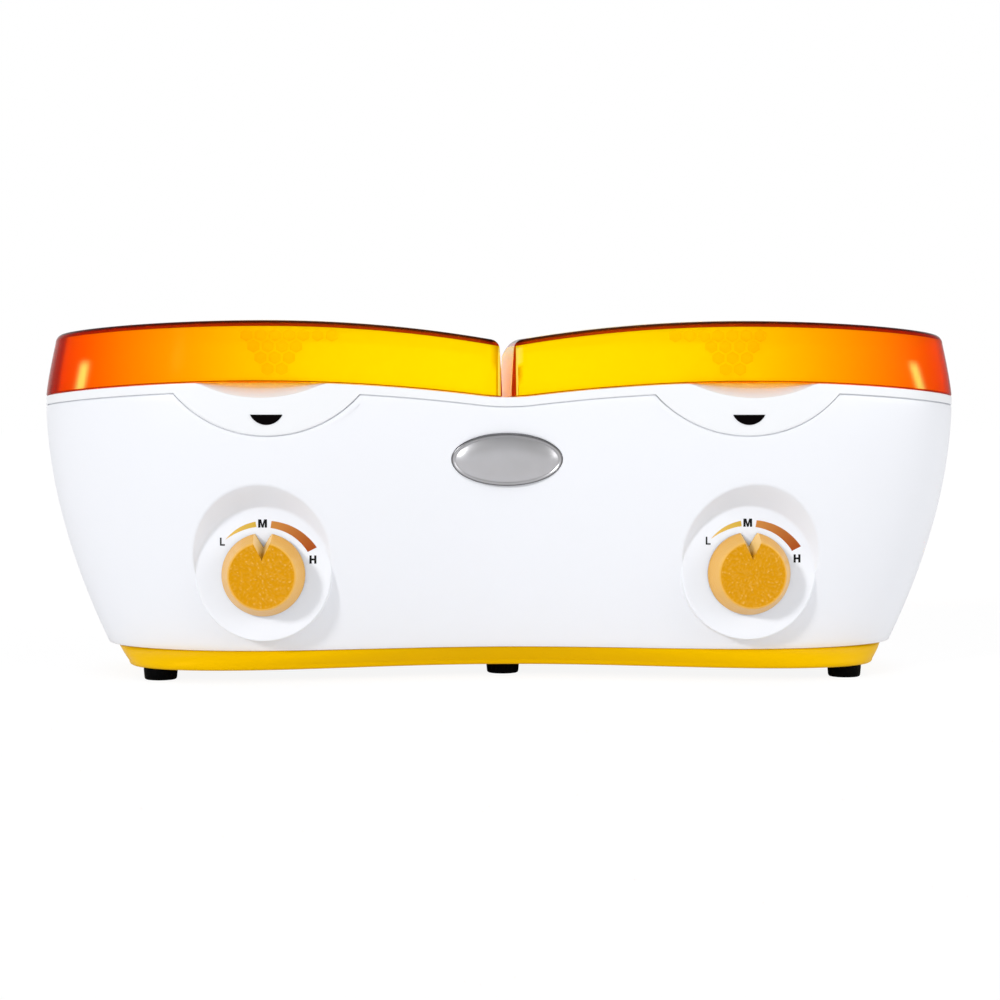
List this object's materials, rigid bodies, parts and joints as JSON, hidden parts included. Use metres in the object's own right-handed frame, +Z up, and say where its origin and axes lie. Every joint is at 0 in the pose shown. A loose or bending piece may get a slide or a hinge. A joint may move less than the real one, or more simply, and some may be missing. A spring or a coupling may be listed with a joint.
{
  "type": "double wax warmer",
  "caption": "Low twin-well wax warmer: tapered white housing, hinged amber see-through lids, a dial and pilot light for each heated well, yellow base tray and rubber feet.",
  "frame": {"origin": "on the table, under the middle of the part's bounding box", "axes": "+X runs to the viewer's right along the length, -Y is the front with the dials, +Z is up"},
  "size_m": [0.41, 0.1819, 0.1576],
  "materials": {
    "housing_plastic": "satin moulded",
    "deck_plastic": "satin moulded",
    "base_plastic": "satin moulded",
    "lid_plastic": "clear amber, polished",
    "knob_plastic": "fine pebbled face",
    "foot_rubber": "matte",
    "pot_metal": "spun",
    "steel": "zinc plated",
    "seal_silicone": "matte",
    "band_mica": "mica sheet",
    "wrap_fibre": "felted glass fibre",
    "fuse_ceramic": "ceramic",
    "stat_phenolic": "phenolic",
    "lens_plastic": "dark, polished",
    "lamp_glass": "glass",
    "badge_metal": "satin domed",
    "gland_rubber": "matte",
    "block_nylon": "nylon"
  },
  "bodies": {
    "warmer": {"housing": "housing_plastic", "top_deck": "deck_plastic", "base_tray": "base_plastic", "foot_front_left": "foot_rubber", "foot_front_middle": "foot_rubber", "foot_front_right": "foot_rubber", "foot_rear_left": "foot_rubber", "foot_rear_middle": "foot_rubber", "foot_rear_right": "foot_rubber", "hinge_pin_left": "steel", "hinge_pin_right": "steel", "well_pot_left": "pot_metal", "well_pot_right": "pot_metal", "pot_seal_left": "seal_silicone", "pot_seal_right": "seal_silicone", "pot_standoff_left": "steel", "pot_standoff_right": "steel", "heater_band_left": "band_mica", "heater_band_right": "band_mica", "insulation_wrap_left": "wrap_fibre", "insulation_wrap_right": "wrap_fibre", "thermal_fuse_left": "fuse_ceramic", "thermal_fuse_right": "fuse_ceramic", "thermostat_left": "stat_phenolic", "thermostat_right": "stat_phenolic", "bush_nut_left": "steel", "bush_nut_right": "steel", "indicator_lens_left": "lens_plastic", "indicator_lens_right": "lens_plastic", "neon_lamp_left": "lamp_glass", "neon_lamp_right": "lamp_glass", "badge_plate": "badge_metal", "cord_gland": "gland_rubber", "terminal_block": "block_nylon", "base_screws": "steel", "deck_screws": "steel"},
    "left_lid": {"lid_left": "lid_plastic"},
    "right_lid": {"lid_right": "lid_plastic"},
    "left_dial": {"knob_left": "knob_plastic", "knob_shaft_left": "steel"},
    "right_dial": {"knob_right": "knob_plastic", "knob_shaft_right": "steel"}
  },
  "joints": [
    {"name": "lid_left_hinge", "type": "hinge", "parent": "warmer", "child": "left_lid", "pos_m": [-0.112, 0.08726, 0.13305], "axis": [-1, 0, 0], "range_deg": [0, 100]},
    {"name": "lid_right_hinge", "type": "hinge", "parent": "warmer", "child": "right_lid", "pos_m": [0.112, 0.08726, 0.13305], "axis": [-1, 0, 0], "range_deg": [0, 100]},
    {"name": "knob_left_turn", "type": "hinge", "parent": "warmer", "child": "left_dial", "pos_m": [-0.1036, -0.08, 0.0475], "axis": [0, 1, 0], "range_deg": [-50, 72]},
    {"name": "knob_right_turn", "type": "hinge", "parent": "warmer", "child": "right_dial", "pos_m": [0.1036, -0.08, 0.0475], "axis": [0, 1, 0], "range_deg": [-50, 72]}
  ]
}
